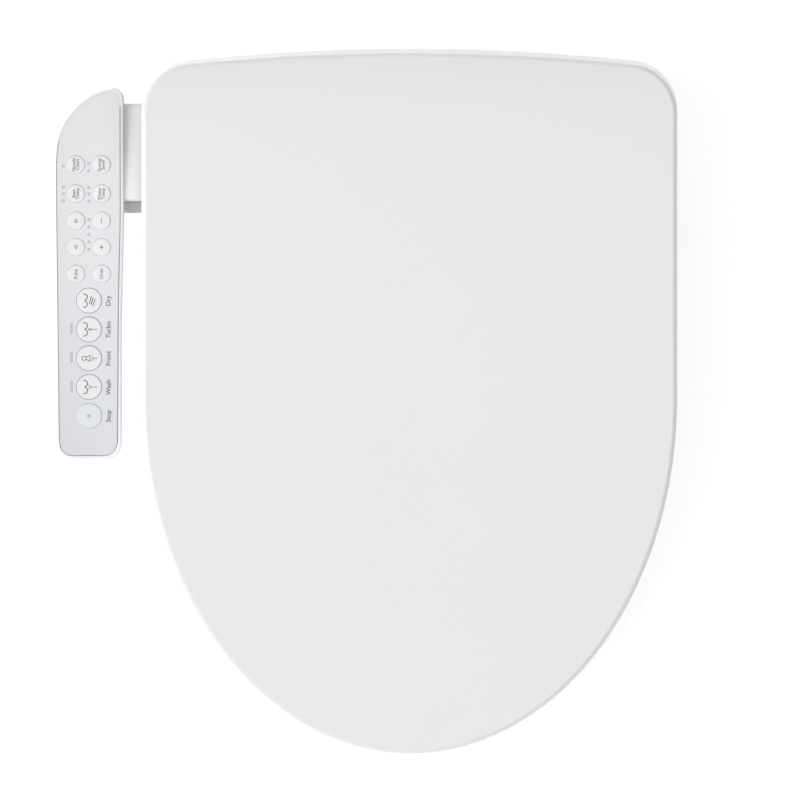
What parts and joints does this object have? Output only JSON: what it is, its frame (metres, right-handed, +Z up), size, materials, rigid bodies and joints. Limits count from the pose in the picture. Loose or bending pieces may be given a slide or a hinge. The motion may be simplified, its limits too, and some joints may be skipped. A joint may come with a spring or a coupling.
{
  "type": "electric bidet seat",
  "caption": "Heated bidet toilet seat with a closed one-piece lid, a side control panel on an arm with round keys, soft-close hinges, wash nozzle and warm air dryer.",
  "frame": {"origin": "midpoint between the two mounting bolts, on the top of the bowl's rim", "axes": "+X to the right seen from above with the rear up, +Y to the rear, +Z up"},
  "size_m": [0.4596, 0.521, 0.1464],
  "materials": {
    "white_gloss": "gloss",
    "white_matte": "satin",
    "panel_film": "satin",
    "key_white": "satin",
    "led_lens": "frosted",
    "grey_plastic": "matte",
    "mechanism": "matte",
    "gear_plastic": "satin",
    "rubber_grey": "matte",
    "rubber_white": "matte",
    "steel": "brushed",
    "brass": "machined",
    "board": "satin",
    "foil": "foil"
  },
  "bodies": {
    "mounting": {"mount_plate": "grey_plastic", "mount_inserts": "mechanism"},
    "unit": {"base_tray": "white_matte", "top_cover": "white_gloss", "base_feet": "rubber_grey", "case_screws": "steel", "hinge_pins": "steel", "lid_damper": "mechanism", "seat_damper": "mechanism", "nozzle_guide": "white_matte", "nozzle_motor": "steel", "fan_housing": "mechanism", "fan_motor": "steel", "dryer_duct": "mechanism", "dryer_heater": "steel", "water_tank": "white_matte", "tank_heater": "steel", "inlet_valve": "white_matte", "inlet_fitting": "brass", "flow_selector": "white_matte", "water_tubes": "rubber_white", "main_pcb": "board", "cord_gland": "rubber_grey", "arm_cover": "white_gloss", "arm_bracket": "grey_plastic", "panel_upper_case": "white_gloss", "panel_lower_case": "white_gloss", "panel_overlay": "panel_film", "panel_pcb": "board", "panel_leds": "led_lens"},
    "seat": {"seat_top_shell": "white_gloss", "seat_bottom_shell": "white_matte", "seat_heater": "foil", "seat_bumpers": "rubber_grey", "seat_damper_shaft": "steel"},
    "lid_shaft": {"lid_damper_shaft": "steel"},
    "lid": {"lid_shell": "white_gloss", "lid_bumpers": "rubber_white"},
    "nozzle": {"nozzle_tube": "steel", "nozzle_tip": "white_matte", "nozzle_rack": "gear_plastic"},
    "pinion": {"nozzle_pinion": "gear_plastic"},
    "impeller": {"fan_impeller": "mechanism"},
    "flap": {"dryer_flap": "white_matte"},
    "release": {"release_button": "grey_plastic"},
    "nozzle_clean_key": {"button_nozzle_clean": "key_white"},
    "energy_save_key": {"button_energy_save": "key_white"},
    "seat_temp_key": {"button_seat_temp": "key_white"},
    "water_temp_key": {"button_water_temp": "key_white"},
    "nozzle_back_key": {"button_nozzle_back": "key_white"},
    "nozzle_forward_key": {"button_nozzle_forward": "key_white"},
    "pressure_down_key": {"button_pressure_down": "key_white"},
    "pressure_up_key": {"button_pressure_up": "key_white"},
    "pulse_key": {"button_pulse": "key_white"},
    "child_key": {"button_child": "key_white"},
    "dry_key": {"button_dry": "key_white"},
    "turbo_key": {"button_turbo": "key_white"},
    "front_wash_key": {"button_front_wash": "key_white"},
    "rear_wash_key": {"button_rear_wash": "key_white"},
    "stop_key": {"button_stop": "key_white"}
  },
  "joints": [
    {"name": "quick_release_slide", "type": "slide", "parent": "mounting", "child": "unit", "axis": [0, -1, 0], "range_m": [0, 0.085]},
    {"name": "seat_hinge", "type": "hinge", "parent": "unit", "child": "seat", "pos_m": [0, -0.064, 0.06], "axis": [-1, 0, 0], "range_deg": [0, 100]},
    {"name": "lid_follow", "type": "hinge", "parent": "unit", "child": "lid_shaft", "pos_m": [0, 0.02, 0.112], "axis": [-1, 0, 0], "range_deg": [0, 100]},
    {"name": "lid_hinge", "type": "hinge", "parent": "lid_shaft", "child": "lid", "pos_m": [0, 0.02, 0.112], "axis": [1, 0, 0], "range_deg": [-100, 0]},
    {"name": "nozzle_slide", "type": "slide", "parent": "unit", "child": "nozzle", "axis": [0, -0.9744, -0.225], "range_m": [0, 0.075]},
    {"name": "pinion_spin", "type": "hinge", "parent": "unit", "child": "pinion", "pos_m": [0.017, -0.06782, 0.0272], "axis": [0, -0.225, 0.9744], "range_deg": [-20, 640]},
    {"name": "impeller_spin", "type": "hinge", "parent": "unit", "child": "impeller", "pos_m": [0.092, 0.002, 0.03], "axis": [0, 0, 1], "continuous": true},
    {"name": "dryer_flap_hinge", "type": "hinge", "parent": "unit", "child": "flap", "pos_m": [0.065, -0.1024, 0.0328], "axis": [-1, 0, 0], "range_deg": [0, 70]},
    {"name": "release_press", "type": "slide", "parent": "unit", "child": "release", "axis": [-1, 0, 0], "range_m": [0, 0.004], "stiffness_N_per_m": 900},
    {"name": "nozzle_clean_press", "type": "slide", "parent": "unit", "child": "nozzle_clean_key", "axis": [0, 0.0583, -0.9983], "range_m": [0, 0.0008], "stiffness_N_per_m": 300},
    {"name": "energy_save_press", "type": "slide", "parent": "unit", "child": "energy_save_key", "axis": [0, 0.0583, -0.9983], "range_m": [0, 0.0008], "stiffness_N_per_m": 300},
    {"name": "seat_temp_press", "type": "slide", "parent": "unit", "child": "seat_temp_key", "axis": [0, 0.0583, -0.9983], "range_m": [0, 0.0008], "stiffness_N_per_m": 300},
    {"name": "water_temp_press", "type": "slide", "parent": "unit", "child": "water_temp_key", "axis": [0, 0.0583, -0.9983], "range_m": [0, 0.0008], "stiffness_N_per_m": 300},
    {"name": "nozzle_back_press", "type": "slide", "parent": "unit", "child": "nozzle_back_key", "axis": [0, 0.0583, -0.9983], "range_m": [0, 0.0008], "stiffness_N_per_m": 300},
    {"name": "nozzle_forward_press", "type": "slide", "parent": "unit", "child": "nozzle_forward_key", "axis": [0, 0.0583, -0.9983], "range_m": [0, 0.0008], "stiffness_N_per_m": 300},
    {"name": "pressure_down_press", "type": "slide", "parent": "unit", "child": "pressure_down_key", "axis": [0, 0.0583, -0.9983], "range_m": [0, 0.0008], "stiffness_N_per_m": 300},
    {"name": "pressure_up_press", "type": "slide", "parent": "unit", "child": "pressure_up_key", "axis": [0, 0.0583, -0.9983], "range_m": [0, 0.0008], "stiffness_N_per_m": 300},
    {"name": "pulse_press", "type": "slide", "parent": "unit", "child": "pulse_key", "axis": [0, 0.0583, -0.9983], "range_m": [0, 0.0008], "stiffness_N_per_m": 300},
    {"name": "child_press", "type": "slide", "parent": "unit", "child": "child_key", "axis": [0, 0.0583, -0.9983], "range_m": [0, 0.0008], "stiffness_N_per_m": 300},
    {"name": "dry_press", "type": "slide", "parent": "unit", "child": "dry_key", "axis": [0, 0.0583, -0.9983], "range_m": [0, 0.0008], "stiffness_N_per_m": 300},
    {"name": "turbo_press", "type": "slide", "parent": "unit", "child": "turbo_key", "axis": [0, 0.0583, -0.9983], "range_m": [0, 0.0008], "stiffness_N_per_m": 300},
    {"name": "front_wash_press", "type": "slide", "parent": "unit", "child": "front_wash_key", "axis": [0, 0.0583, -0.9983], "range_m": [0, 0.0008], "stiffness_N_per_m": 300},
    {"name": "rear_wash_press", "type": "slide", "parent": "unit", "child": "rear_wash_key", "axis": [0, 0.0583, -0.9983], "range_m": [0, 0.0008], "stiffness_N_per_m": 300},
    {"name": "stop_press", "type": "slide", "parent": "unit", "child": "stop_key", "axis": [0, 0.0583, -0.9983], "range_m": [0, 0.0008], "stiffness_N_per_m": 300}
  ],
  "couplings": [
    {"joint": "lid_follow", "follows": "seat_hinge", "ratio": 1},
    {"joint": "pinion_spin", "follows": "nozzle_slide", "rad_per_m": 142.86}
  ]
}
